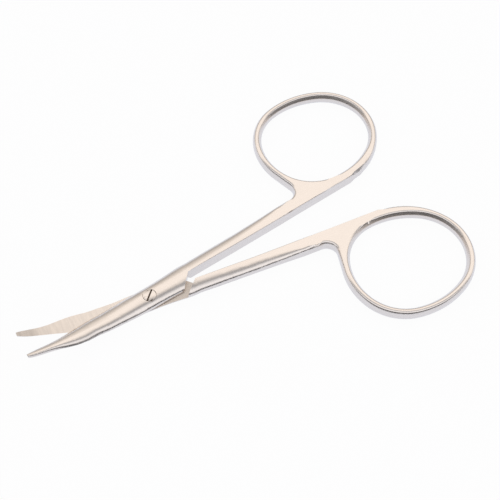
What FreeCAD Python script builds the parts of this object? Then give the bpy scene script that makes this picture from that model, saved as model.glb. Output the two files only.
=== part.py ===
import FreeCAD, Part
import math
import os
import Sketcher

# Dissecting scissors: two forged halves with finger rings that cross in a lap
# joint, and the slotted screw that they turn on. Millimetres, +Z up, handles
# towards +X, blades towards -X and curving up.

# Every driving dimension, in millimetres and degrees. A half is described in its
# own frame: the pivot axis is Z, the handle runs along +X and its outer side is
# +Y on the upper half and -Y on the lower half.
SIZES = {
    # Finger ring: an oval hole of four radii in a flat plate
    "ring_start": 43.9,
    "hole_length": 26.7,
    "hole_width": 23.75,
    "near_fullness": 1.28,
    "corner_fullness": 0.895,
    "side_fullness": 1.222,
    "far_fullness": 1.036,
    "ring_band": 2.05,
    "inner_band": 2.645,
    "bend_fullness": 1.245,
    "plate_thickness": 3.2,
    "plate_sink": 0.35,
    "plate_break_width": 0.55,
    "plate_break_height": 0.8,
    "hole_break_width": 0.75,
    "hole_break_height": 1.15,
    # Web between the shank and the ring, with its notch
    "web_side": 3.45,
    "web_lead": 1.15,
    "notch_radius": 2.5,
    "notch_gap": 0.55,
    # Flat inner sides of the two shanks, which close side by side
    "side_clearance": 0.15,
    # Lap joint
    "joint_height": 3.4,
    "joint_side": 3.03,
    "pivot_spine": 2.66,
    "pivot_edge": 2.83,
    "joint_middle": 5.5,
    "middle_spine": 2.86,
    "middle_edge": 2.96,
    "lap_clearance": 0.08,
    "wall_from_pivot": 11.03,
    "heel_clearance": 0.9,
    # Parting surface of the blades: flat at the pivot, then curving up
    "flat_radius": 2.9,
    "curve_radius": 60.0,
    # Small flats that end the rounded sides of a section
    "crown_flat": 0.1,
    "side_flat": 0.1,
    # Pivot screw
    "screw_radius": 1.0,
    "screw_clearance": 0.06,
    "thread_clearance": 0.02,
    "head_radius": 1.5,
    "head_height": 0.75,
    "head_clearance": 0.03,
    "screw_end": 0.15,
    "slot_width": 0.38,
    "slot_depth": 0.45,
    "slot_heading": 48.8,
    # How far the handles stand open at rest
    "opening": 10.99,
}

# Stations of the blade, tip first: distance from the pivot, half widths at the
# parting surface on the spine and the cutting side, height of the crown over
# that surface, and how far past it the widest line of the rounding lies.
BLADE_STATIONS = {
    "tip": (29.7, 0.46, 0.36, 0.70, 0.9),
    "point": (25.5, 0.80, 1.07, 0.84, 0.9),
    "taper": (21.0, 1.33, 1.58, 1.03, 0.9),
    "belly": (17.8, 1.92, 2.10, 1.18, 0.9),
    "root": (10.5, 2.20, 2.74, 1.42, 0.35),
    "throat": (5.0, 2.44, 2.93, 1.58, 0.1),
}

# Stations of the shank behind the joint: share of the way from the joint's wall
# to the web, outer side, height, how far its underside lies below the joint's,
# width and height of the outer side's rounding, and rounding of the inner edges.
SHANK_STATIONS = {
    "neck": (0.154, 3.10, 3.40, 0.10, 2.75, 1.56, 0.15),
    "middle": (0.482, 3.20, 3.25, 0.30, 2.30, 1.38, 0.2),
    "rear": (0.724, 3.30, 3.19, 0.33, 1.70, 1.15, 0.2),
    "flare": (0.897, 3.40, 3.20, 0.35, 1.00, 0.95, 0.2),
}

for station, numbers in BLADE_STATIONS.items():
    for part, number in zip(("reach", "spine", "edge", "crown", "drop"), numbers):
        SIZES[station + "_" + part] = number
for station, numbers in SHANK_STATIONS.items():
    for part, number in zip(("share", "side", "height", "sink", "round_width", "round_height",
                             "inner"), numbers):
        SIZES[station + "_" + part] = number


class Size:
    """A number together with the expression that binds it to the sheet."""

    def __init__(self, value, text=None):
        self.value = value
        self.text = text if text else repr(value)

    def __add__(self, other):
        other = as_size(other)
        return Size(self.value + other.value, "(%s + %s)" % (self.text, other.text))

    def __sub__(self, other):
        other = as_size(other)
        return Size(self.value - other.value, "(%s - %s)" % (self.text, other.text))

    def __mul__(self, other):
        other = as_size(other)
        return Size(self.value * other.value, "(%s * %s)" % (self.text, other.text))

    def __truediv__(self, other):
        other = as_size(other)
        return Size(self.value / other.value, "(%s / %s)" % (self.text, other.text))

    def __neg__(self):
        return Size(-self.value, "(0 - %s)" % self.text)


def as_size(number):
    return number if isinstance(number, Size) else Size(number)


def root(size):
    return Size(math.sqrt(size.value), "sqrt(%s)" % size.text)


doc = FreeCAD.newDocument("dissecting_scissors")
sheet = doc.addObject("Spreadsheet::Sheet", "sizes")
for row, (name, number) in enumerate(SIZES.items(), 1):
    sheet.set("A%d" % row, name.replace("_", " "))
    sheet.set("B%d" % row, str(number))
    sheet.setAlias("B%d" % row, name)
doc.recompute()


def size(name):
    return Size(SIZES[name], "sizes." + name)


PARTING = size("joint_height") / 2
HALF_GAP = size("lap_clearance") / 2
# How far the cuts run past the metal
BEYOND = 5.0
LAP_START = 1.0
# The finger hole's middle line, and the radii of its arcs and of the bend beside it:
# shares of those that an oval of the hole's length and width has
HOLE_LINE = size("side_clearance") + size("inner_band") + size("hole_width") / 2
END_CURVE = size("hole_width") * size("hole_width") / (size("hole_length") * 2)
SIDE_CURVE = size("hole_length") * size("hole_length") / (size("hole_width") * 2)
NEAR_RADIUS = END_CURVE * size("near_fullness")
FAR_RADIUS = END_CURVE * size("far_fullness")
SIDE_RADIUS = SIDE_CURVE * size("side_fullness")
CORNER_RADIUS = size("hole_width") / 2 * size("corner_fullness")
BEND_RADIUS = (FAR_RADIUS + size("ring_band")) * size("bend_fullness")
# The notch ends short of the finger hole, and the web starts a little before the notch
NOTCH_CENTRE = size("ring_start") - size("notch_gap") - size("notch_radius")
WEB_START = NOTCH_CENTRE - size("web_lead")


def rise(reach):
    """Height of the blades' parting surface over its flat, at a distance from the pivot."""
    curve = size("curve_radius")
    run = reach - size("flat_radius")
    return curve - root(curve * curve - run * run)


def origin_plane(body, role):
    return [item for item in body.Origin.OriginFeatures if item.Role == role][0]


def new_sketch(body, name, plane, offset=None):
    """A sketch on one of the body's own planes, moved along that plane's normal."""
    sketch = body.newObject("Sketcher::SketchObject", name)
    sketch.AttachmentSupport = [(origin_plane(body, plane), "")]
    sketch.MapMode = "FlatFace"
    if offset:
        sketch.AttachmentOffset = FreeCAD.Placement(
            FreeCAD.Vector(0, 0, offset.value), FreeCAD.Rotation())
        sketch.setExpression(".AttachmentOffset.Base.z", offset.text)
    return sketch


def bind(sketch, kind, *references):
    """Adds a constraint; a Size at its end is bound to the sheet."""
    if isinstance(references[-1], Size):
        number = sketch.addConstraint(
            Sketcher.Constraint(kind, *references[:-1], references[-1].value))
        sketch.setExpression("Constraints[%d]" % number, references[-1].text)
    else:
        sketch.addConstraint(Sketcher.Constraint(kind, *references))


def place_point(sketch, geometry, end, x, y):
    """Ties one point of a geometry to the sketch's origin."""
    bind(sketch, "DistanceX", -1, 1, geometry, end, x)
    bind(sketch, "DistanceY", -1, 1, geometry, end, y)


def quarter_arc(centre_x, centre_y, width, height, start):
    """A quarter of an ellipse or circle, from a quadrant's angle and anticlockwise."""
    centre = FreeCAD.Vector(centre_x, centre_y, 0)
    if width == height:
        circle = Part.Circle(centre, FreeCAD.Vector(0, 0, 1), width)
        return Part.ArcOfCircle(circle, start, start + math.pi / 2)
    ellipse = Part.Ellipse(centre, max(width, height), min(width, height))
    if height > width:
        ellipse.AngleXU = math.pi / 2
        start = start - math.pi / 2
    return Part.ArcOfEllipse(ellipse, start, start + math.pi / 2)


def rounded_section(body, name, reach, left, right, low, high, left_corner, right_corner,
                    straight=False):
    """A closed section across the half: four flats joined by quarter ellipses.

    It lies at a distance along X. left and right are places in Y, low and high
    in Z, and each corner is the width and height of the rounding on that side.
    With straight set, the corners are cut off instead of rounded.
    """
    sketch = new_sketch(body, name, "YZ_Plane", reach)
    corners = []
    for across, upward, quadrant in ((1, 1, 0), (-1, 1, 1), (-1, -1, 2), (1, -1, 3)):
        side, corner = (right, right_corner) if across > 0 else (left, left_corner)
        width, height = corner
        x = side - width * across
        y = (high if upward > 0 else low) - height * upward
        if straight:
            ends = [FreeCAD.Vector(side.value, y.value, 0),
                    FreeCAD.Vector(x.value, (y + height * upward).value, 0)]
            arc = Part.LineSegment(*(ends if across == upward else ends[::-1]))
        else:
            arc = quarter_arc(x.value, y.value, width.value, height.value,
                              quadrant * math.pi / 2)
        corners.append((sketch.addGeometry(arc), x, y, width.text == height.text))
    flats = []
    for corner, following in zip(corners, corners[1:] + corners[:1]):
        line = Part.LineSegment(sketch.getPoint(corner[0], 2), sketch.getPoint(following[0], 1))
        flats.append(sketch.addGeometry(line))
    for index, (arc, x, y, circular) in enumerate(corners):
        touching = circular or straight
        bind(sketch, "Coincident" if touching else "Tangent", flats[index - 1], 2, arc, 1)
        bind(sketch, "Coincident", arc, 2, flats[index], 1)
        bind(sketch, "Horizontal" if index % 2 == 0 else "Vertical", flats[index])
        level_end, upright_end = (1, 2) if index % 2 == 0 else (2, 1)
        if straight:
            bind(sketch, "DistanceY", -1, 1, arc, level_end, y)
            bind(sketch, "DistanceX", -1, 1, arc, upright_end, x)
            continue
        bind(sketch, "DistanceX", -1, 1, arc, 3, x)
        if not circular:
            bind(sketch, "DistanceY", -1, 1, arc, 3, y)
        bind(sketch, "Horizontal", arc, 3, arc, level_end)
        bind(sketch, "Vertical", arc, 3, arc, upright_end)
    bind(sketch, "DistanceY", -1, 1, flats[0], 1, high)
    bind(sketch, "DistanceX", -1, 1, flats[1], 1, left)
    bind(sketch, "DistanceY", -1, 1, flats[2], 1, low)
    bind(sketch, "DistanceX", -1, 1, flats[3], 1, right)
    return sketch


def heading(start, end):
    return math.atan2(end[1] - start[1], end[0] - start[0])


def hole_centres():
    """Centres of the finger hole's near, corner, side and far arcs, about its own middle line."""
    near = (SIZES["ring_start"] + NEAR_RADIUS.value, 0.0)
    far = (SIZES["ring_start"] + SIZES["hole_length"] - FAR_RADIUS.value, 0.0)
    side_y = SIZES["hole_width"] / 2 - SIDE_RADIUS.value
    side_to_far = SIDE_RADIUS.value - FAR_RADIUS.value
    side = (far[0] - math.sqrt(side_to_far ** 2 - side_y ** 2), side_y)
    # The corner arc touches the near arc and the side arc from inside
    from_near = NEAR_RADIUS.value - CORNER_RADIUS.value
    from_side = SIDE_RADIUS.value - CORNER_RADIUS.value
    apart = math.hypot(side[0] - near[0], side[1])
    along = (apart ** 2 + from_near ** 2 - from_side ** 2) / (2 * apart)
    offset = math.sqrt(from_near ** 2 - along ** 2)
    turn = heading(near, side)
    corner = (near[0] + along * math.cos(turn) + offset * math.sin(turn),
              along * math.sin(turn) - offset * math.cos(turn))
    return near, corner, side, far


def draw_plate(body, outer):
    """The ring's plate with its web: the outline and the finger hole in one sketch.

    outer is +1 where the half's outer side is +Y and -1 where it is -Y. Angles
    and places are those of the upper half, and are mirrored for the lower.
    """
    sketch = new_sketch(body, "ring_plate_outline", "XY_Plane", -size("plate_sink"))
    middle = HOLE_LINE.value
    band = SIZES["ring_band"]
    near, corner, side, far = hole_centres()
    near_angle = heading(near, corner)
    corner_angle = heading(side, corner)
    side_angle = heading(side, far)
    # An arc's ends change places when it is mirrored
    begin, end = (1, 2) if outer > 0 else (2, 1)

    def raised(centre, mirror=1):
        return (centre[0], middle + mirror * centre[1])

    def arc(centre, radius, start, stop):
        circle = Part.Circle(FreeCAD.Vector(centre[0], outer * centre[1], 0),
                             FreeCAD.Vector(0, 0, 1), radius)
        if outer < 0:
            start, stop = -stop, -start
        return sketch.addGeometry(Part.ArcOfCircle(circle, start, stop))

    def line(start, stop):
        return sketch.addGeometry(Part.LineSegment(
            FreeCAD.Vector(start[0], outer * start[1], 0),
            FreeCAD.Vector(stop[0], outer * stop[1], 0)))

    def on_arc(centre, radius, angle):
        return (centre[0] + radius * math.cos(angle), centre[1] + radius * math.sin(angle))

    # Finger hole, anticlockwise from its near end
    turn = 2 * math.pi
    hole = [
        arc(raised(near), NEAR_RADIUS.value, near_angle, turn - near_angle),
        arc(raised(corner, -1), CORNER_RADIUS.value, turn - near_angle, turn - corner_angle),
        arc(raised(side, -1), SIDE_RADIUS.value, turn - corner_angle, turn - side_angle),
        arc(raised(far), FAR_RADIUS.value, -side_angle, side_angle),
        arc(raised(side), SIDE_RADIUS.value, side_angle, corner_angle),
        arc(raised(corner), CORNER_RADIUS.value, corner_angle, near_angle),
    ]
    for one, following in zip(hole, hole[1:] + hole[:1]):
        bind(sketch, "Tangent", one, end, following, begin)
    near_hole, corner_in, side_in, far_hole, side_out, corner_out = hole
    line_of_hole = HOLE_LINE * outer
    side_shift = (size("hole_width") / 2 - SIDE_RADIUS) * outer
    bind(sketch, "DistanceX", -1, 1, near_hole, 3, size("ring_start") + NEAR_RADIUS)
    bind(sketch, "DistanceY", -1, 1, near_hole, 3, line_of_hole)
    bind(sketch, "DistanceX", -1, 1, far_hole, 3,
         size("ring_start") + size("hole_length") - FAR_RADIUS)
    bind(sketch, "DistanceY", -1, 1, far_hole, 3, line_of_hole)
    bind(sketch, "DistanceY", -1, 1, side_out, 3, line_of_hole + side_shift)
    bind(sketch, "DistanceY", -1, 1, side_in, 3, line_of_hole - side_shift)
    bind(sketch, "Radius", near_hole, NEAR_RADIUS)
    bind(sketch, "Radius", far_hole, FAR_RADIUS)
    for one in (corner_in, corner_out):
        bind(sketch, "Radius", one, CORNER_RADIUS)
    for one in (side_in, side_out):
        bind(sketch, "Radius", one, SIDE_RADIUS)

    # The bend from the flat inner side into the far end of the ring
    bend = BEND_RADIUS.value
    far_outside = FAR_RADIUS.value + band
    bend_y = SIZES["side_clearance"] + bend
    bend_x = far[0] - math.sqrt((bend - far_outside) ** 2 - (bend_y - middle) ** 2)
    bend_angle = heading((bend_x, bend_y), raised(far))
    # The notch between the shank and the ring: a hollow arc and a straight edge
    notch = (NOTCH_CENTRE.value, SIZES["web_side"] + SIZES["notch_radius"])
    near_outside = NEAR_RADIUS.value + band
    apart = math.hypot(near[0] - notch[0], middle - notch[1])
    notch_angle = (heading(notch, raised(near))
                   - math.acos((SIZES["notch_radius"] + near_outside) / apart))
    notch_top = on_arc(raised(near), near_outside, notch_angle + math.pi)
    notch_foot = on_arc(notch, SIZES["notch_radius"], notch_angle)

    # Outline, anticlockwise from the inner corner at the shank
    inner_corner = (WEB_START.value, SIZES["side_clearance"])
    outer_corner = (WEB_START.value, SIZES["web_side"])
    inner_side = line(inner_corner, (bend_x, SIZES["side_clearance"]))
    inner_bend = arc((bend_x, bend_y), bend, -math.pi / 2, bend_angle)
    far_end = arc(raised(far), far_outside, bend_angle, side_angle)
    outer_side = arc(raised(side), SIDE_RADIUS.value + band, side_angle, corner_angle)
    shoulder = arc(raised(corner), CORNER_RADIUS.value + band, corner_angle, near_angle)
    near_end = arc(raised(near), near_outside, near_angle, notch_angle + math.pi)
    notch_edge = line(notch_top, notch_foot)
    hollow = arc(notch, SIZES["notch_radius"], -math.pi / 2, notch_angle)
    web_side = line((notch[0], SIZES["web_side"]), outer_corner)
    web_end = line(outer_corner, inner_corner)
    bind(sketch, "Tangent", inner_side, 2, inner_bend, begin)
    bind(sketch, "Tangent", inner_bend, end, far_end, begin)
    bind(sketch, "Tangent", far_end, end, outer_side, begin)
    bind(sketch, "Tangent", outer_side, end, shoulder, begin)
    bind(sketch, "Tangent", shoulder, end, near_end, begin)
    bind(sketch, "Tangent", near_end, end, notch_edge, 1)
    bind(sketch, "Tangent", notch_edge, 2, hollow, end)
    bind(sketch, "Tangent", hollow, begin, web_side, 1)
    bind(sketch, "Coincident", web_side, 2, web_end, 1)
    bind(sketch, "Coincident", web_end, 2, inner_side, 1)
    bind(sketch, "Coincident", far_end, 3, far_hole, 3)
    bind(sketch, "Coincident", outer_side, 3, side_out, 3)
    bind(sketch, "Coincident", shoulder, 3, corner_out, 3)
    bind(sketch, "Coincident", near_end, 3, near_hole, 3)
    bind(sketch, "Horizontal", inner_side)
    bind(sketch, "Horizontal", web_side)
    bind(sketch, "Vertical", web_end)
    bind(sketch, "DistanceX", -1, 1, inner_side, 1, WEB_START)
    bind(sketch, "DistanceY", -1, 1, inner_side, 1, size("side_clearance") * outer)
    bind(sketch, "DistanceY", -1, 1, web_side, 2, size("web_side") * outer)
    bind(sketch, "DistanceX", -1, 1, hollow, 3, NOTCH_CENTRE)
    bind(sketch, "Radius", hollow, size("notch_radius"))
    bind(sketch, "Radius", inner_bend, BEND_RADIUS)
    bind(sketch, "Radius", far_end, FAR_RADIUS + size("ring_band"))
    return sketch


def polygon(sketch, corners):
    """A closed outline of straight lines through corners given as Sizes."""
    lines = []
    for (x, y), (next_x, next_y) in zip(corners, corners[1:] + corners[:1]):
        lines.append(sketch.addGeometry(Part.LineSegment(
            FreeCAD.Vector(x.value, y.value, 0), FreeCAD.Vector(next_x.value, next_y.value, 0))))
    for index, (x, y) in enumerate(corners):
        bind(sketch, "Coincident", lines[index - 1], 2, lines[index], 1)
        place_point(sketch, lines[index], 1, x, y)


def edge_names(shape, wanted):
    return ["Edge%d" % (index + 1) for index, edge in enumerate(shape.Edges) if wanted(edge)]


def break_plate_edges(body, pad):
    """Breaks the edges of the ring's plate, outside and round the finger hole."""
    inner_wires = [face.Wires[1:] for face in pad.Shape.Faces if len(face.Wires) > 1]
    hole_edges = [edge for wires in inner_wires for wire in wires for edge in wire.Edges]
    start = WEB_START.value

    def is_hole(edge):
        return any(edge.isSame(other) for other in hole_edges)

    def is_outline(edge):
        box = edge.BoundBox
        return not is_hole(edge) and box.ZLength < 1e-6 and box.XMax > start + 1e-6

    def chamfer(name, base, edges, kind, flat_first=False):
        """Breaks edges by a width on the plate's flat face and a height on its wall.

        The first distance goes to the face that the edge meets first, which is
        the wall on a plain pad and the flat face after another chamfer.
        """
        feature = body.newObject("PartDesign::Chamfer", name)
        feature.Base = (base, edges)
        feature.ChamferType = "Two distances"
        feature.FlipDirection = flat_first
        for setting, part in (("Size", "_break_height"), ("Size2", "_break_width")):
            setattr(feature, setting, SIZES[kind + part])
            feature.setExpression(setting, "sizes." + kind + part)
        doc.recompute()
        return feature

    outside = chamfer("plate_edges", pad, edge_names(pad.Shape, is_outline), "plate")

    def near_hole(edge):
        """Edges of the hole, found again after the outline's own rounding."""
        box = edge.BoundBox
        return box.ZLength < 1e-6 and any(
            (edge.CenterOfMass - other.CenterOfMass).Length < 1e-3 for other in hole_edges)

    chamfer("hole_edges", outside, edge_names(outside.Shape, near_hole), "hole", True)


def build_half(name, outer):
    """One half: ring plate, shank, joint and blade, then the cuts of the lap joint.

    outer is the side of its ring in Y, and also which layer of the joint it
    holds: +1 for the layer above the parting surface, -1 for the one below.
    """
    body = doc.addObject("PartDesign::Body", name)
    body.Label = name
    outline = draw_plate(body, outer)
    pad = body.newObject("PartDesign::Pad", "ring_plate")
    pad.Profile = outline
    pad.Length = SIZES["plate_thickness"]
    pad.setExpression("Length", "sizes.plate_thickness")
    doc.recompute()
    break_plate_edges(body, pad)

    def across(inner, outside, inner_corner, outer_corner):
        """Left and right in Y, with their corners, whichever side is the outer one."""
        if outer > 0:
            return inner, outside, inner_corner, outer_corner
        return -outside, -inner, outer_corner, inner_corner

    # Shank: sections from the joint back to the web
    side_flat = size("side_flat") / 2
    half_height = size("joint_height") / 2
    joint_corner = (size("joint_side") - size("crown_flat"), half_height - side_flat)
    clearance = size("side_clearance")
    edge_break = size("neck_inner") / 2
    shank = []
    wall = size("wall_from_pivot")
    stations = [("heel", wall, size("joint_side"), size("joint_height"), Size(0.0),
                 (size("joint_side") - clearance - size("crown_flat"), joint_corner[1]),
                 (edge_break / 2, edge_break / 3))]
    for station in SHANK_STATIONS:
        inner = size(station + "_inner")
        reach = wall + (WEB_START - wall) * size(station + "_share")
        stations.append((station, reach, size(station + "_side"),
                         size(station + "_height"), size(station + "_sink"),
                         (size(station + "_round_width"), size(station + "_round_height")),
                         (inner, inner * 0.9)))
    web_corner = (size("plate_break_width"), size("plate_break_height"))
    stations.append(("web", WEB_START, size("web_side"), size("plate_thickness"),
                     size("plate_sink"), web_corner, web_corner))
    for station, reach, side, height, sink, corner, inner_corner in stations:
        left, right, left_corner, right_corner = across(clearance, side, inner_corner, corner)
        shank.append(rounded_section(body, "shank_" + station, reach, left, right,
                                     -sink, height - sink, left_corner, right_corner,
                                     straight=station == "web"))
    loft = body.newObject("PartDesign::AdditiveLoft", "shank")
    loft.Profile = shank[0]
    loft.Sections = shank[1:]
    loft.Ruled = True
    doc.recompute()

    # Blade and joint: sections from the tip back to the heel
    blade = []
    for station in BLADE_STATIONS:
        crown = size(station + "_crown")
        drop = size(station + "_drop")
        high = crown + drop
        widening = root(Size(1.0) - drop * drop / (high * high))
        spine = size(station + "_spine") / widening
        edge = size(station + "_edge") / widening
        reach = size(station + "_reach")
        middle = PARTING + rise(reach) - drop * outer
        left, right, left_corner, right_corner = across(
            -spine, edge, (spine - size("crown_flat"), high - side_flat),
            (edge - size("crown_flat"), high - side_flat))
        blade.append(rounded_section(body, "blade_" + station, -reach, left, right,
                                     middle - high, middle + high, left_corner, right_corner))
    for station, reach, spine, edge in (
            ("pivot", Size(0.0), size("pivot_spine"), size("pivot_edge")),
            ("middle", size("joint_middle"), size("middle_spine"), size("middle_edge")),
            ("heel", size("wall_from_pivot"), size("joint_side"), size("joint_side"))):
        left, right, left_corner, right_corner = across(
            -spine, edge, (spine - size("crown_flat"), joint_corner[1]),
            (edge - size("crown_flat"), joint_corner[1]))
        blade.append(rounded_section(body, "joint_" + station, reach, left, right,
                                     Size(0.0), size("joint_height"), left_corner, right_corner))
    loft = body.newObject("PartDesign::AdditiveLoft", "blade")
    loft.Profile = blade[0]
    loft.Sections = blade[1:]
    doc.recompute()
    return body


def cut(body, kind, name, sketch, **settings):
    """Adds a Pocket or Groove, and stops if it took nothing away."""
    doc.recompute()
    before = body.Shape.Volume
    feature = body.newObject("PartDesign::" + kind, name)
    feature.Profile = sketch
    for setting, value in settings.items():
        if isinstance(value, Size):
            setattr(feature, setting, value.value)
            feature.setExpression(setting, value.text)
        else:
            setattr(feature, setting, value)
    doc.recompute()
    if body.Shape.Volume > before - 0.001:
        raise RuntimeError(name + " removes nothing")
    return feature


def cut_dish(body, outer):
    """Grinds the blade's face: a surface turned about the pivot, flat and then curving up."""
    sketch = new_sketch(body, "dish_profile", "XZ_Plane")
    curve = size("curve_radius")
    flat = size("flat_radius")
    face = PARTING + HALF_GAP * outer
    radius = curve - HALF_GAP * outer
    run = size("tip_reach")
    beyond = PARTING + curve - root(radius * radius - run * run) + BEYOND if outer < 0 else Size(-BEYOND)
    centre = (-flat, PARTING + curve)
    circle = Part.Circle(FreeCAD.Vector(centre[0].value, centre[1].value, 0),
                         FreeCAD.Vector(0, 0, 1), radius.value)
    stop = math.asin(run.value / radius.value)
    bottom = -math.pi / 2
    arc = sketch.addGeometry(Part.ArcOfCircle(circle, bottom - stop, bottom))
    outline = [(0.0, face.value), (0.0, beyond.value), (-(flat + run).value, beyond.value)]
    corner = sketch.getPoint(arc, 1)
    outline = [FreeCAD.Vector(x, y, 0) for x, y in outline]
    axis = sketch.addGeometry(Part.LineSegment(outline[0], outline[1]))
    back = sketch.addGeometry(Part.LineSegment(outline[1], outline[2]))
    end = sketch.addGeometry(Part.LineSegment(outline[2], corner))
    ride = sketch.addGeometry(Part.LineSegment(sketch.getPoint(arc, 2), outline[0]))
    bind(sketch, "Coincident", axis, 2, back, 1)
    bind(sketch, "Coincident", back, 2, end, 1)
    bind(sketch, "Coincident", end, 2, arc, 1)
    bind(sketch, "Coincident", ride, 2, axis, 1)
    bind(sketch, "Coincident", arc, 2, ride, 1)
    bind(sketch, "Horizontal", ride)
    bind(sketch, "Vertical", axis)
    bind(sketch, "Horizontal", back)
    bind(sketch, "Vertical", end)
    place_point(sketch, arc, 3, centre[0], centre[1])
    bind(sketch, "Vertical", arc, 3, arc, 2)
    place_point(sketch, axis, 1, Size(0.0), face)
    bind(sketch, "DistanceY", -1, 1, back, 1, beyond)
    bind(sketch, "DistanceX", -1, 1, end, 1, -(flat + run))
    cut(body, "Groove", "dish", sketch, ReferenceAxis=(sketch, ["V_Axis"]),
        Angle=180.0, Midplane=True)


def cut_lap(body, outer):
    """Clears the other half's layer of the joint, up to a wall at 45 degrees."""
    wall = size("wall_from_pivot")
    side = size("side_clearance")
    wide = Size(BEYOND)
    face = PARTING + HALF_GAP * outer
    sketch = new_sketch(body, "lap_outline", "XY_Plane", face)
    corners = [(Size(-LAP_START), wide), (Size(-LAP_START), -wide), (wall, -wide),
               (wall, side), (wall - side, side), (wall - wide, wide)]
    polygon(sketch, [(x, y * outer) for x, y in corners])
    cut(body, "Pocket", "lap", sketch, Type="ThroughAll", Reversed=outer < 0)


def cut_heel(body, outer):
    """Ends the half's own layer along a line at 45 degrees, short of the other's wall."""
    end = size("wall_from_pivot") - size("heel_clearance")
    wall = size("wall_from_pivot")
    side = size("side_clearance")
    wide = Size(BEYOND)
    sketch = new_sketch(body, "heel_outline", "XY_Plane")
    corners = [(end + side, side), (end - wide, -wide), (wall, -wide), (wall, side)]
    polygon(sketch, [(x, y * outer) for x, y in corners])
    cut(body, "Pocket", "heel", sketch, Midplane=True, Length=4 * BEYOND)


def cut_hole(body, name, radius, low, high):
    """Bores a round hole on the pivot axis between two heights."""
    sketch = new_sketch(body, name + "_outline", "XY_Plane", high)
    circle = sketch.addGeometry(Part.Circle(
        FreeCAD.Vector(0, 0, 0), FreeCAD.Vector(0, 0, 1), radius.value))
    bind(sketch, "Coincident", circle, 3, -1, 1)
    bind(sketch, "Radius", circle, radius)
    cut(body, "Pocket", name, sketch, Length=high - low)


def finish_half(body, outer):
    cut_dish(body, outer)
    cut_lap(body, outer)
    cut_heel(body, outer)
    above = size("joint_height") + Size(1.0)
    if outer > 0:
        cut_hole(body, "screw_hole", size("screw_radius") + size("screw_clearance"),
                 Size(0.0), above)
        cut_hole(body, "head_seat", size("head_radius") + size("head_clearance"),
                 size("joint_height") - size("head_height"), above)
    else:
        cut_hole(body, "threaded_hole", size("screw_radius") + size("thread_clearance"),
                 Size(-1.0), above)


def build_screw():
    """Slotted screw: head sunk in the upper half, body threaded into the lower."""
    body = doc.addObject("PartDesign::Body", "pivot_screw")
    body.Label = "pivot_screw"
    sketch = new_sketch(body, "screw_profile", "XZ_Plane")
    top = size("joint_height") + Size(0.5)
    shoulder = size("joint_height") - size("head_height") + size("head_clearance")
    corners = [(Size(0.0), size("screw_end")), (size("screw_radius"), size("screw_end")),
               (size("screw_radius"), shoulder), (size("head_radius"), shoulder),
               (size("head_radius"), top), (Size(0.0), top)]
    polygon(sketch, corners)
    turned = body.newObject("PartDesign::Revolution", "turned")
    turned.Profile = sketch
    turned.ReferenceAxis = (sketch, ["V_Axis"])
    turned.Angle = 360.0
    doc.recompute()
    # The head and the end are ground flush with the crowns of the two halves
    crown = (size("joint_height") - size("side_flat")) / 2
    section = rounded_section(
        body, "crown_section", Size(0.0), -size("pivot_spine"), size("pivot_edge"),
        Size(0.0), size("joint_height"), (size("pivot_spine") - size("crown_flat"), crown),
        (size("pivot_edge") - size("crown_flat"), crown))
    wide = Size(BEYOND)
    polygon(section, [(-wide, -wide), (wide, -wide), (wide, wide + top), (-wide, wide + top)])
    cut(body, "Pocket", "ground_ends", section, Midplane=True, Length=4 * BEYOND)
    slot = new_sketch(body, "slot_outline", "XY_Plane", size("joint_height") - size("slot_depth"))
    slot.AttachmentOffset = FreeCAD.Placement(
        slot.AttachmentOffset.Base,
        FreeCAD.Rotation(FreeCAD.Vector(0, 0, 1), SIZES["slot_heading"]))
    slot.setExpression(".AttachmentOffset.Rotation.Angle", "sizes.slot_heading")
    half = size("slot_width") / 2
    polygon(slot, [(-wide, -half), (wide, -half), (wide, half), (-wide, half)])
    cut(body, "Pocket", "slot", slot, Reversed=True, Length=BEYOND)
    return body


def turn_body(body, side):
    """Opens a piece by half the opening at rest, to one side or the other."""
    body.Placement = FreeCAD.Placement(
        FreeCAD.Vector(0, 0, 0),
        FreeCAD.Rotation(FreeCAD.Vector(0, 0, side), SIZES["opening"] / 2))
    body.setExpression(".Placement.Rotation.Angle", "sizes.opening / 2")


upper_half = build_half("upper_half", 1)
finish_half(upper_half, 1)
lower_half = build_half("lower_half", -1)
finish_half(lower_half, -1)
pivot_screw = build_screw()
turn_body(upper_half, 1)
turn_body(lower_half, -1)
turn_body(pivot_screw, -1)
doc.recompute()

# The origin is the middle of the underside of the whole pair of scissors
pieces = [upper_half, lower_half, pivot_screw]
boxes = [piece.Shape.optimalBoundingBox(True, False) for piece in pieces]
middle = (min(box.XMin for box in boxes) + max(box.XMax for box in boxes)) / 2
for piece in pieces:
    piece.Placement.Base = FreeCAD.Vector(-middle, 0, SIZES["plate_sink"])
    piece.setExpression(".Placement.Base.z", "sizes.plate_sink")
doc.recompute()

for item in doc.Objects:
    if "Invalid" in item.State or "Error" in item.State:
        raise RuntimeError(item.Name + " failed: " + str(item.State))
for piece in pieces:
    if piece.Shape.isNull() or not piece.Shape.isValid() or len(piece.Shape.Solids) != 1:
        raise RuntimeError(piece.Label + " is not one valid solid")

os.makedirs("parts", exist_ok=True)
for piece in pieces:
    piece.Shape.exportStep(os.path.join("parts", piece.Label + ".step"))
    print(piece.Label, round(piece.Shape.Volume, 2), "mm3")
print("pivot axis at x =", round(-middle, 4))
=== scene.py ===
import math
import bmesh
import bpy
from mathutils import Matrix, Vector


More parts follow.
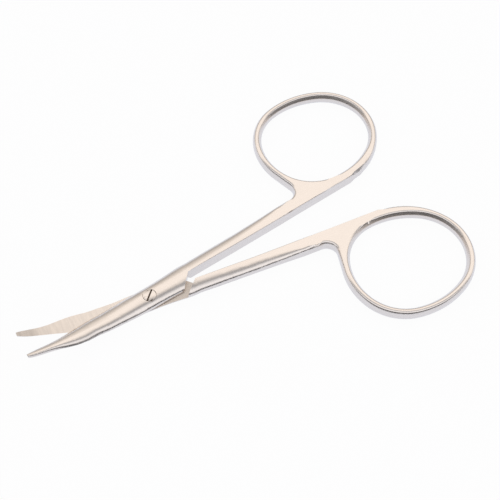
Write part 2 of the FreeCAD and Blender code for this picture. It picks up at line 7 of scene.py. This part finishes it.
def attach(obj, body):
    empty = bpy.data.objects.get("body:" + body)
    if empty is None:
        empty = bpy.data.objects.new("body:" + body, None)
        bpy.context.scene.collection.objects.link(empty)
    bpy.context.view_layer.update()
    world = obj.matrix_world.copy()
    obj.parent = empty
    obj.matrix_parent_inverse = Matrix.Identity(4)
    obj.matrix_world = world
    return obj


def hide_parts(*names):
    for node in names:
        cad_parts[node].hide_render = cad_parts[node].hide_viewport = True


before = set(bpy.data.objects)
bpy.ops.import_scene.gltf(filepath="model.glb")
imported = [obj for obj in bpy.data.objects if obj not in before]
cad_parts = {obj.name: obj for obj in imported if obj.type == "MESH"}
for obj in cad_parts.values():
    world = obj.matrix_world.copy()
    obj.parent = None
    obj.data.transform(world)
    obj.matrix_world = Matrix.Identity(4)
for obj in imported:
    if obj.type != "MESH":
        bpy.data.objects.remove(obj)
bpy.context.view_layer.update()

# The view is a catalogue shot: a long lens stands above the near side, so that the blades
# point to the lower left and the rings lie to the right.
mm = 0.001
pivot = Vector((-20.6859, 0.0, 0.0)) * mm    # the screw's upright axis, at the table
camera_data = bpy.data.cameras.new("camera")
camera_data.sensor_width = 36.0
camera_data.lens = 77.10
camera_data.clip_start = 0.01
camera = bpy.data.objects.new("camera", camera_data)
bpy.context.scene.collection.objects.link(camera)
eye = pivot + Vector((-39.43, -113.29, 208.37)) * mm
forward = Vector((0.2662, 0.4642, -0.8448)).normalized()
right = Vector((0.8675, -0.4975, 0.0)).normalized()
up = right.cross(forward)
aim = Matrix((right, up, -forward)).transposed().to_4x4()
camera.matrix_world = Matrix.Translation(eye) @ aim
bpy.context.scene.camera = camera
bpy.context.scene.view_settings.view_transform = "Standard"

# The studio is a white light tent, which the steel mirrors. A warm lamp panel stands high
# on the far side, the cloth overhead hangs in a soft fold, and low on the camera's side the
# tent is open to the dark room, which draws the dark lines along the rounded edges.
away = (0.4975, 0.8675, 0.0)     # level, from the camera to the far side
cloth_steps = [                  # from the far horizon, 0, over the top, 0.5, to the near one, 1
    (0.00, "aeacad"), (0.10, "b2b0ae"), (0.20, "dbd6d1"), (0.27, "fffbf8"), (0.38, "fffbf8"),
    (0.45, "dddad8"), (0.50, "9c9ea2"), (0.555, "9c9ea4"), (0.61, "dfe2e8"), (0.68, "f8faff"),
    (1.00, "f4f6ff")]
opening_side = (0.34 * away[0], 0.34 * away[1], 0.94)    # square to the tent's opening
opening_edge = 0.24                                      # how softly the opening begins
dark_room = 0.10                                         # the room's share of the tent's light


def linear(hex_colour):
    """An sRGB hex colour as linear red, green, blue and a full alpha."""
    parts = [int(hex_colour[i:i + 2], 16) / 255 for i in (0, 2, 4)]
    return [p / 12.92 if p <= 0.04045 else ((p + 0.055) / 1.055) ** 2.4 for p in parts] + [1.0]


def add_node(tree, kind, settings, links):
    """Adds a node with its settings, and links its inputs to the outputs given for them."""
    node = tree.nodes.new(kind)
    for key, value in settings.items():
        if isinstance(key, str) and hasattr(node, key):
            setattr(node, key, value)
        else:
            node.inputs[key].default_value = value
    for key, output in links.items():
        tree.links.new(output, node.inputs[key])
    return node


world = bpy.data.worlds.new("light_tent")
bpy.context.scene.world = world
world.use_nodes = True
tree = world.node_tree
tree.nodes.clear()
direction = add_node(tree, "ShaderNodeTexCoord", {}, {}).outputs["Generated"]
parts = add_node(tree, "ShaderNodeSeparateXYZ", {}, {0: direction})
far = add_node(tree, "ShaderNodeVectorMath", {"operation": "DOT_PRODUCT", 1: away},
               {0: direction})
sweep = add_node(tree, "ShaderNodeMath", {"operation": "ARCTAN2"},
                 {0: parts.outputs["Z"], 1: far.outputs["Value"]})
share = add_node(tree, "ShaderNodeMath", {"operation": "MULTIPLY", 1: 1 / math.pi},
                 {0: sweep.outputs[0]})
cloth = add_node(tree, "ShaderNodeValToRGB", {}, {0: share.outputs[0]})
ramp = cloth.color_ramp
while len(ramp.elements) < len(cloth_steps):
    ramp.elements.new(0.5)
for element, (place, colour) in zip(ramp.elements, cloth_steps):
    element.position = place
    element.color = linear(colour)
opening = add_node(tree, "ShaderNodeVectorMath", {"operation": "DOT_PRODUCT", 1: opening_side},
                   {0: direction})
gap = add_node(tree, "ShaderNodeMapRange",
               {"interpolation_type": "SMOOTHSTEP", "From Min": 0.0, "From Max": opening_edge,
                "To Min": dark_room, "To Max": 1.0},
               {"Value": opening.outputs["Value"]})
tent = add_node(tree, "ShaderNodeVectorMath", {"operation": "SCALE"},
                {0: cloth.outputs["Color"], "Scale": gap.outputs["Result"]})
tent_light = add_node(tree, "ShaderNodeBackground", {"Strength": 1.16},
                      {"Color": tent.outputs["Vector"]})
plain = add_node(tree, "ShaderNodeBackground", {"Color": (1, 1, 1, 1), "Strength": 1.0}, {})
ray = add_node(tree, "ShaderNodeLightPath", {}, {})
both = add_node(tree, "ShaderNodeMixShader", {},
                {0: ray.outputs["Is Camera Ray"], 1: tent_light.outputs[0],
                 2: plain.outputs[0]})
add_node(tree, "ShaderNodeOutputWorld", {}, {"Surface": both.outputs[0]})

# The table is a smooth sheet of white paper, lit from all round. The camera sees it nearly
# plain white, with the scissors' soft shadow, and the steel's walls mirror it a little cool.
sheet_radius = 0.9
sheet_drop = 0.06 * mm       # it lies this little under the scissors
white_seen = 0.95            # the camera sees this much of plain white, the rest is shaded paper
white_mirrored = 0.85        # and the steel this much


def bare_material(name):
    """A new material whose node tree is empty, and that tree."""
    material = bpy.data.materials.new(name)
    material.use_nodes = True
    material.node_tree.nodes.clear()
    return material, material.node_tree


bpy.ops.mesh.primitive_circle_add(vertices=96, radius=sheet_radius, fill_type="NGON",
                                  location=(0, 0, -sheet_drop))
table = bpy.context.object
table.name = "table"
paper, tree = bare_material("white_paper_sheet")
matt = add_node(tree, "ShaderNodeBsdfDiffuse", {"Color": linear("f4f2f6")}, {})
glow = add_node(tree, "ShaderNodeEmission", {"Color": (1, 1, 1, 1), "Strength": 1.0}, {})
cool_glow = add_node(tree, "ShaderNodeEmission", {"Color": linear("e9f1ff"), "Strength": 1.04},
                     {})
ray = add_node(tree, "ShaderNodeLightPath", {}, {})
seen = add_node(tree, "ShaderNodeMath", {"operation": "MULTIPLY", 1: white_seen},
                {0: ray.outputs["Is Camera Ray"]})
mirrored = add_node(tree, "ShaderNodeMath", {"operation": "MULTIPLY", 1: white_mirrored},
                    {0: ray.outputs["Is Glossy Ray"]})
in_steel = add_node(tree, "ShaderNodeMixShader", {},
                    {0: mirrored.outputs[0], 1: matt.outputs[0], 2: cool_glow.outputs[0]})
both = add_node(tree, "ShaderNodeMixShader", {},
                {0: seen.outputs[0], 1: in_steel.outputs[0], 2: glow.outputs[0]})
add_node(tree, "ShaderNodeOutputMaterial", {}, {"Surface": both.outputs[0]})
table.data.materials.append(paper)

# The two halves are die forgings of stainless steel, each with its finger ring, shank, half
# of the lap joint and curved blade. Their edges are broken, the blade's inner face and the
# joint are ground, and the rest is brushed on a belt and tumbled.
half_turn = math.radians(5.495)              # each half stands open this far
# In a half's own millimetres, from the pivot, with +X to its ring:
ring_middle = Vector((57.25, 14.67, 0.0))    # the finger hole's middle
hole_half = Vector((13.35, 11.875))          # half the hole's length and width
plate_faces = (0.0, 3.2)                     # heights of the ring plate's two faces
plate_start = 40.1                           # the plate's web leaves the shank here
broken_width, broken_height = 0.56, 0.81     # the plate's broken edges lie within these
wall_side = 0.15                             # the shank's straight inner wall, off the middle
wall_end = 57.2                              # where that wall bends away round the ring
sharp_share = 0.3                            # its broken edge is drawn in to this share
fade_start, fade_end = 36.8, 39.5            # and that fades in between these
ring_rounding = 0.45                         # how much the broken edges are rounded
seat_rounding = 0.07                         # and the rim of the hole for the screw's head
seat_radius = 1.53                           # the radius of that hole
blade_start = 8.0                            # the blade leaves the joint here
blade_end = 29.0                             # only the blunt end lies past this
parting_height = 2.05                        # where the two halves meet at the joint
lap_gap = 0.04                               # each half's face stays this far from it
flat_radius = 2.9                            # it is flat this far round the pivot
curve_radius = 60.0                          # and rises along the blade with this radius


def copy_of(node, name):
    """A CAD piece as a piece of its own, its doubles merged and its flats made whole."""
    bpy.ops.object.select_all(action="DESELECT")
    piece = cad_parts[node].copy()
    piece.data = piece.data.copy()
    piece.name = name
    piece.parent = None
    for key in list(piece.keys()):
        del piece[key]
    bpy.context.scene.collection.objects.link(piece)
    bpy.context.view_layer.objects.active = piece
    piece.select_set(True)
    bpy.ops.object.mode_set(mode="EDIT")
    bpy.ops.mesh.customdata_custom_splitnormals_clear()
    bpy.ops.mesh.select_all(action="SELECT")
    bpy.ops.mesh.remove_doubles(threshold=0.001 * mm)
    bpy.ops.mesh.dissolve_limited(angle_limit=math.radians(0.3))
    bpy.ops.object.mode_set(mode="OBJECT")
    piece.data.materials.clear()
    return piece


def in_half(point, side):
    """A point of the shared frame in one half's own millimetres; side is +1 for the upper
    half and -1 for the lower one."""
    return Matrix.Rotation(-side * half_turn, 3, "Z") @ (point - pivot) / mm


def in_frame(place, side):
    """A place in one half's own millimetres, back in the shared frame."""
    return pivot + Matrix.Rotation(side * half_turn, 3, "Z") @ place * mm


def sharpen_inner_edge(piece, side):
    """Draws in the plate's broken edges along the shank's straight inner wall, which is ground
    last and so ends nearly sharp. A cut across the wall lets the edge follow it."""
    cut_place, wall_start, wall_reach = 44.0, 39.0, 3.0
    shape = bmesh.new()
    shape.from_mesh(piece.data)
    inner = [face for face in shape.faces
             if all(abs(in_half(corner.co, side).y) < wall_reach for corner in face.verts)
             and in_half(face.calc_center_median(), side).x > wall_start]
    edges = dict.fromkeys(edge for face in inner for edge in face.edges)
    corners = dict.fromkeys(corner for face in inner for corner in face.verts)
    bmesh.ops.bisect_plane(shape, geom=inner + list(edges) + list(corners),
                           plane_co=in_frame(Vector((cut_place, 0, 0)), side),
                           plane_no=Matrix.Rotation(side * half_turn, 3, "Z") @ Vector((1, 0, 0)))
    for corner in shape.verts:
        place = in_half(corner.co, side)
        depth = place.y * side - wall_side
        for face_height in plate_faces:
            rise = place.z - face_height
            if (fade_start < place.x < wall_end and -0.01 < depth < broken_width
                    and abs(rise) < broken_height):
                fade = max(0.0, (fade_end - place.x) / (fade_end - fade_start))
                share = sharp_share + (1 - sharp_share) * fade
                corner.co = in_frame(Vector((place.x, (wall_side + depth * share) * side,
                                             face_height + rise * share)), side)
    shape.to_mesh(piece.data)
    shape.free()


def true_blade(piece, side, point_out):
    """Trues the blade's back to two straight runs with a corner between them, and turns its
    point out by about point_out mm in the plane of cutting."""
    taken, taken_at, taken_over = 0.14, 14.2, 2.4     # share of the width, place and length
    added, added_at, added_over = 0.12, 21.0, 3.0
    turn_start, turn_length = 14.0, 15.7
    for corner in piece.data.vertices:
        place = in_half(corner.co, side)
        reach, across = -place.x, -place.y * side
        if reach > blade_start:
            if across > 0:
                across *= (1 - taken * math.exp(-((reach - taken_at) / taken_over) ** 2)
                           + added * math.exp(-((reach - added_at) / added_over) ** 2))
            across += point_out * max(0.0, (reach - turn_start) / turn_length) ** 1.5
            corner.co = in_frame(Vector((place.x, -across * side, place.z)), side)


def ring_edge(edge, side):
    """How much of the rounding an edge takes: the lines where the plate's broken edges meet
    its faces and walls take some, more at the walls, and all others none."""
    broken_tilts, face_tilt, least_angle = (0.3, 0.65), 0.99, 0.3
    hole_reach = 1.09                          # in shares of the hole's own half sizes
    sharp_side = 0.8                           # only the sharp edge lies within this
    growth_near, growth_side = 50.0, 2.5       # for lines past the first, within the second,
    growth_start, growth_end = 56.9, 60.9      # the rounding grows from the sharp edge's end
    ends = [in_half(corner.co, side) for corner in edge.verts]
    near, far = sorted(end.x for end in ends)
    low, high = sorted(end.y * side for end in ends)
    tilts = sorted(abs(face.normal.z) for face in edge.link_faces)
    on_broken_edge = any(broken_tilts[0] < tilt < broken_tilts[1] for tilt in tilts)
    at_sharp_edge = far < wall_end and high < sharp_side
    if near < plate_start or not on_broken_edge or at_sharp_edge:
        return 0.0
    if edge.calc_face_angle() < least_angle:
        return 0.0
    at_face = tilts[1] > face_tilt
    if all(math.hypot((end.x - ring_middle.x) / hole_half.x,
                      (end.y * side - ring_middle.y) / hole_half.y) < hole_reach for end in ends):
        return 0.6 if at_face else 0.8
    share = 0.68 if at_face else 1.0
    if near > growth_near and low < growth_side:
        share *= min(1.0, (near - growth_start) / (growth_end - growth_start))
    return max(0.0, share)


def seat_rim(edge, side):
    """The rim, on top, of the hole for the screw's head."""
    near_enough, on_top = 0.02, 3.2
    ends = [in_half(corner.co, side) for corner in edge.verts]
    return float(all(abs(end.xy.length - seat_radius) < near_enough and end.z > on_top
                     for end in ends))


def round_edges(piece, side, width, share_of):
    """Rounds a piece's edges with a bevel, each by its share of the width in mm."""
    shape = bmesh.new()
    shape.from_mesh(piece.data)
    layer = shape.edges.layers.float.new("bevel_weight_edge")
    for edge in shape.edges:
        if len(edge.link_faces) == 2:
            edge[layer] = share_of(edge, side)
    shape.to_mesh(piece.data)
    shape.free()
    bevel = piece.modifiers.new("rounding", "BEVEL")
    bevel.limit_method = "WEIGHT"
    bevel.offset_type = "OFFSET"
    bevel.width = width * mm
    bevel.segments = 4
    bevel.use_clamp_overlap = False
    bpy.ops.object.modifier_apply(modifier="rounding")
    piece.data.attributes.remove(piece.data.attributes["bevel_weight_edge"])


def shade(piece):
    """Smooth shading over all but the sharp edges, with the large flats kept flat."""
    bpy.ops.object.shade_smooth_by_angle(angle=math.radians(40))
    weighted = piece.modifiers.new("weighted", "WEIGHTED_NORMAL")
    weighted.mode = "FACE_AREA"
    weighted.weight = 60
    weighted.keep_sharp = True
    bpy.ops.object.modifier_apply(modifier="weighted")


def steel_place(tree, side):
    """Object coordinates turned into one half's own millimetres."""
    place = add_node(tree, "ShaderNodeTexCoord", {}, {}).outputs["Object"]
    turned = add_node(tree, "ShaderNodeMapping",
                      {"vector_type": "TEXTURE", "Location": pivot,
                       "Rotation": (0, 0, side * half_turn), "Scale": (mm, mm * side, mm)},
                      {"Vector": place})
    return turned.outputs[0]


# Brushed stainless steel: a warm grey metal with soft reflections and fine lines of grain,
# which run along the shanks and blades and round the rings, as the belt went. Real ones lie
# some 0.05 mm apart, too fine to show, so they are drawn about 0.4 mm apart.
def brushed_steel(name, side):
    """The brushed steel of one half."""
    noise_low, noise_high = 0.3, 0.7
    per_mm = 2.6                # lines across the grain
    along_mm = 0.15             # breaks in a line along the grain
    along_turn = 2.0            # and along a line round the ring, for each radian
    ring_reach = (15.5, 18.0)   # mm from the ring's middle; its lines give way to the shank's
    line = {"Scale": 1.0, "Detail": 3.0, "Roughness": 0.65}
    material, tree = bare_material(name)
    place = steel_place(tree, side)
    straight = add_node(tree, "ShaderNodeVectorMath",
                        {"operation": "MULTIPLY", 1: (along_mm, per_mm, per_mm)}, {0: place})
    lines = add_node(tree, "ShaderNodeTexNoise", line, {"Vector": straight.outputs[0]})
    from_ring = add_node(tree, "ShaderNodeVectorMath", {"operation": "SUBTRACT", 1: ring_middle},
                         {0: place})
    apart = add_node(tree, "ShaderNodeSeparateXYZ", {}, {0: from_ring.outputs[0]})
    turn = add_node(tree, "ShaderNodeMath", {"operation": "ARCTAN2"},
                    {0: apart.outputs["Y"], 1: apart.outputs["X"]})
    level = add_node(tree, "ShaderNodeCombineXYZ", {},
                     {0: apart.outputs["X"], 1: apart.outputs["Y"]})
    reach = add_node(tree, "ShaderNodeVectorMath", {"operation": "LENGTH"},
                     {0: level.outputs[0]})
    polar = add_node(tree, "ShaderNodeCombineXYZ", {},
                     {0: turn.outputs[0], 1: reach.outputs["Value"], 2: apart.outputs["Z"]})
    curved = add_node(tree, "ShaderNodeVectorMath",
                      {"operation": "MULTIPLY", 1: (along_turn, per_mm, per_mm)},
                      {0: polar.outputs[0]})
    rounds = add_node(tree, "ShaderNodeTexNoise", line, {"Vector": curved.outputs[0]})
    on_shank = add_node(tree, "ShaderNodeMapRange",
                        {"From Min": ring_reach[0], "From Max": ring_reach[1]},
                        {"Value": reach.outputs["Value"]})
    grain = add_node(tree, "ShaderNodeMix", {"data_type": "FLOAT"},
                     {0: on_shank.outputs[0], 2: rounds.outputs[0], 3: lines.outputs[0]})
    cloudy = add_node(tree, "ShaderNodeTexNoise", {"Scale": 0.35, "Detail": 3.0},
                      {"Vector": place})
    gloss = add_node(tree, "ShaderNodeMapRange",
                     {"From Min": noise_low, "From Max": noise_high,
                      "To Min": 0.2, "To Max": 0.25},
                     {"Value": grain.outputs[0]})
    worn = add_node(tree, "ShaderNodeMapRange", {"To Min": -0.03, "To Max": 0.03},
                    {"Value": cloudy.outputs[0]})
    rough = add_node(tree, "ShaderNodeMath", {"operation": "ADD"},
                     {0: gloss.outputs[0], 1: worn.outputs[0]})
    tone = add_node(tree, "ShaderNodeMapRange", {"From Min": noise_low, "From Max": noise_high},
                    {"Value": grain.outputs[0]})
    colour = add_node(tree, "ShaderNodeMix",
                      {"data_type": "RGBA", 6: linear("e9dfd6"), 7: linear("eee4db")},
                      {0: tone.outputs[0]})
    bump = add_node(tree, "ShaderNodeBump", {"Strength": 0.06, "Distance": 0.01 * mm},
                    {"Height": grain.outputs[0]})
    shader = add_node(tree, "ShaderNodeBsdfPrincipled", {"Metallic": 1.0},
                      {"Base Color": colour.outputs[2], "Roughness": rough.outputs[0],
                       "Normal": bump.outputs[0]})
    add_node(tree, "ShaderNodeOutputMaterial", {}, {"Surface": shader.outputs[0]})
    return material


# Ground stainless steel, inside the blade and on the lap joint: the wheel's scratches run
# across it and make it duller. Painted shade darkens it in the corner at the joint, and it is
# painted darker at the very tip. Real scratches lie some 0.1 mm apart, too fine to show, and
# are drawn 0.6 mm apart.
def ground_steel(name, side):
    """The ground steel of one half."""
    noise_low, noise_high = 0.3, 0.7
    along_mm, across_mm = 1.6, 0.22      # scratches along the blade, breaks across it
    at_joint, joint_shade = (-3.0, 3.0), 0.74
    at_tip, tip_shade = (-26.5, -24.5), 0.80
    material, tree = bare_material(name)
    place = steel_place(tree, side)
    across = add_node(tree, "ShaderNodeVectorMath",
                      {"operation": "MULTIPLY", 1: (along_mm, across_mm, across_mm)}, {0: place})
    grain = add_node(tree, "ShaderNodeTexNoise",
                     {"Scale": 1.0, "Detail": 3.0, "Roughness": 0.6},
                     {"Vector": across.outputs[0]})
    tone = add_node(tree, "ShaderNodeMapRange", {"From Min": noise_low, "From Max": noise_high},
                    {"Value": grain.outputs[0]})
    colour = add_node(tree, "ShaderNodeMix",
                      {"data_type": "RGBA", 6: linear("e2d8cf"), 7: linear("f8ede2")},
                      {0: tone.outputs[0]})
    reach = add_node(tree, "ShaderNodeSeparateXYZ", {}, {0: place})
    # Painted shade in the corner at the joint: past the pivot the colour falls to joint_shade.
    joint = add_node(tree, "ShaderNodeMapRange",
                     {"From Min": at_joint[0], "From Max": at_joint[1],
                      "To Min": 1.0, "To Max": joint_shade}, {"Value": reach.outputs["X"]})
    tip = add_node(tree, "ShaderNodeMapRange",
                   {"From Min": at_tip[0], "From Max": at_tip[1],
                    "To Min": tip_shade, "To Max": 1.0}, {"Value": reach.outputs["X"]})
    darker = add_node(tree, "ShaderNodeMath", {"operation": "MULTIPLY"},
                      {0: joint.outputs[0], 1: tip.outputs[0]})
    shaded = add_node(tree, "ShaderNodeVectorMath", {"operation": "SCALE"},
                      {0: colour.outputs[2], "Scale": darker.outputs[0]})
    gloss = add_node(tree, "ShaderNodeMapRange",
                     {"From Min": noise_low, "From Max": noise_high,
                      "To Min": 0.36, "To Max": 0.5},
                     {"Value": grain.outputs[0]})
    bump = add_node(tree, "ShaderNodeBump", {"Strength": 0.35, "Distance": 0.03 * mm},
                    {"Height": grain.outputs[0]})
    shader = add_node(tree, "ShaderNodeBsdfPrincipled", {"Metallic": 1.0},
                      {"Base Color": shaded.outputs[0], "Roughness": gloss.outputs[0],
                       "Normal": bump.outputs[0]})
    add_node(tree, "ShaderNodeOutputMaterial", {}, {"Surface": shader.outputs[0]})
    return material


def mottled_metal(name, patches_mm, detail, dark, light, metallic, rough):
    """A dull metal in two tones, with so many patches to the millimetre."""
    material, tree = bare_material(name)
    place = add_node(tree, "ShaderNodeTexCoord", {}, {}).outputs["Object"]
    patches = add_node(tree, "ShaderNodeTexNoise",
                       {"Scale": patches_mm / mm, "Detail": detail}, {"Vector": place})
    colour = add_node(tree, "ShaderNodeMix",
                      {"data_type": "RGBA", 6: linear(dark), 7: linear(light)},
                      {0: patches.outputs[0]})
    shader = add_node(tree, "ShaderNodeBsdfPrincipled",
                      {"Metallic": metallic, "Roughness": rough},
                      {"Base Color": colour.outputs[2]})
    add_node(tree, "ShaderNodeOutputMaterial", {}, {"Surface": shader.outputs[0]})
    return material


# The points are cut off square and left unpolished, with some scale from the hardening, so
# each ends in a small dark brown face, mottled about as coarsely as the picture can show.
blunt_end = mottled_metal("unpolished_blunt_end", 4.0, 2.0, "5d4f45", "8d7d6c", 0.9, 0.5)


def on_parting_face(face, side):
    """Whether a face belongs to the ground inside of one half."""
    curve_start, near_enough = 1.0, 0.03
    middle = (face.center - pivot) / mm
    reach = max(0.0, middle.xy.length - flat_radius) if middle.x < curve_start else 0.0
    lift = curve_radius - math.sqrt(curve_radius ** 2 - reach ** 2)
    height = parting_height + lift + side * lap_gap
    return abs(middle.z - height) < near_enough and face.normal.z * side < -0.5


def on_blunt_end(face, side):
    """Whether a face is the square end of the blade."""
    return in_half(face.center, side).x < -blade_end and abs(face.normal.x) > 0.75


for side, node, name, body, point_out in ((1, "upper_half", "upper_forging", "upper", 0.3),
                                          (-1, "lower_half", "lower_forging", "lower", 0.0)):
    piece = copy_of(node, name)
    sharpen_inner_edge(piece, side)
    true_blade(piece, side, point_out)
    round_edges(piece, side, ring_rounding, ring_edge)
    if side > 0:
        round_edges(piece, side, seat_rounding, seat_rim)
    shade(piece)
    for steel in (brushed_steel(name + "_brushed", side), ground_steel(name + "_ground", side),
                  blunt_end):
        piece.data.materials.append(steel)
    for face in piece.data.polygons:
        if on_blunt_end(face, side):
            face.material_index = 2
        elif on_parting_face(face, side):
            face.material_index = 1
    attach(piece, body)
    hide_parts(node)

# The pivot screw is turned from the same steel and threaded into the lower half. Its head is
# sunk in the upper half, ground and brushed flush with it, with a fine gap all round. The
# floor and lower walls of its sawn slot carry painted shade.
# In millimetres, with distances from its axis:
head_edge, head_top = 1.45, 3.7      # only the rim of the head's top lies past both
head_rounding = 0.13
slot_reach = 1.35                    # the slot's dark part ends just inside the rim
slot_heights = (3.2, 3.58)           # and takes in its floor and the lower part of its walls


def head_rim(edge, side):
    """The rim of the head's flat top."""
    ends = [in_half(corner.co, side) for corner in edge.verts]
    return float(all(end.z >= head_top and end.xy.length > head_edge for end in ends))


screw = copy_of("pivot_screw", "screw")
round_edges(screw, -1, head_rounding, head_rim)
shade(screw)
screw.data.materials.append(brushed_steel("turned_steel", -1))

# Painted shade in the slot: its floor and lower walls are painted dull, dark brown and patchy,
# with the steel showing through.
slot_painted_shade = mottled_metal("painted_shade_in_slot", 3.0, 3.0, "4a3f36", "8a7c6c", 0.6, 0.6)
screw.data.materials.append(slot_painted_shade)
for face in screw.data.polygons:
    middle = (face.center - pivot) / mm
    if middle.xy.length < slot_reach and slot_heights[0] < middle.z < slot_heights[1]:
        face.material_index = 1
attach(screw, "lower")
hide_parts("pivot_screw")
